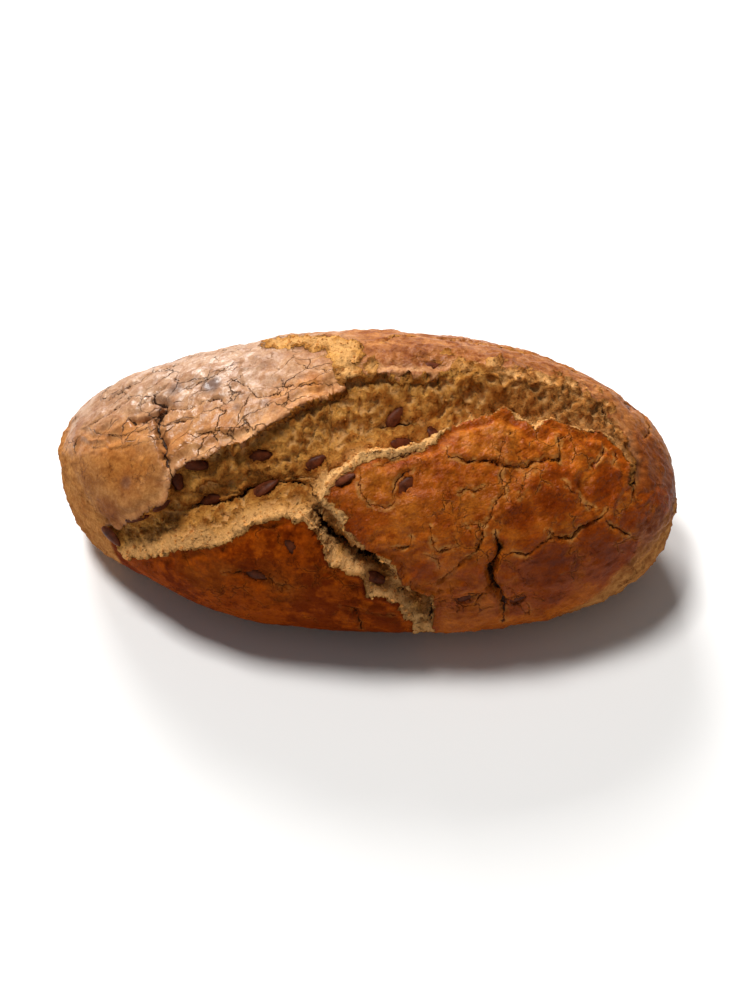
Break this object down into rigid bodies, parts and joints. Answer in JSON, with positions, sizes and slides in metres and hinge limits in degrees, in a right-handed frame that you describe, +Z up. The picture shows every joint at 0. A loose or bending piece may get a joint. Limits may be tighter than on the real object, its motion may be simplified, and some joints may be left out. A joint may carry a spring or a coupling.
{
  "type": "bread roll",
  "caption": "Oval seeded bread roll with a crust torn open along the top and flax seeds stuck in it; it stands on its flat sole.",
  "frame": {"origin": "middle of the flat sole, under the middle of the loaf's box", "axes": "+X along the loaf towards its rounder end, +Y towards the unbroken back, +Z up from the sole"},
  "size_m": [0.12, 0.0596, 0.0459],
  "materials": {
    "baked_bread": "thin glazed golden-brown crust over rough pale crumb",
    "flax_seed": "smooth, satin dark red-brown seed coat"
  },
  "bodies": {
    "root": {"loaf": "baked_bread", "flax_seed_01": "flax_seed", "flax_seed_02": "flax_seed", "flax_seed_03": "flax_seed", "flax_seed_04": "flax_seed", "flax_seed_05": "flax_seed", "flax_seed_06": "flax_seed", "flax_seed_07": "flax_seed", "flax_seed_08": "flax_seed", "flax_seed_09": "flax_seed", "flax_seed_10": "flax_seed", "flax_seed_11": "flax_seed", "flax_seed_12": "flax_seed", "flax_seed_13": "flax_seed", "flax_seed_14": "flax_seed", "flax_seed_15": "flax_seed", "flax_seed_16": "flax_seed", "flax_seed_17": "flax_seed", "flax_seed_18": "flax_seed", "flax_seed_19": "flax_seed", "flax_seed_20": "flax_seed", "flax_seed_21": "flax_seed", "flax_seed_22": "flax_seed", "flax_seed_23": "flax_seed", "flax_seed_24": "flax_seed", "flax_seed_25": "flax_seed", "flax_seed_26": "flax_seed"}
  },
  "joints": []
}
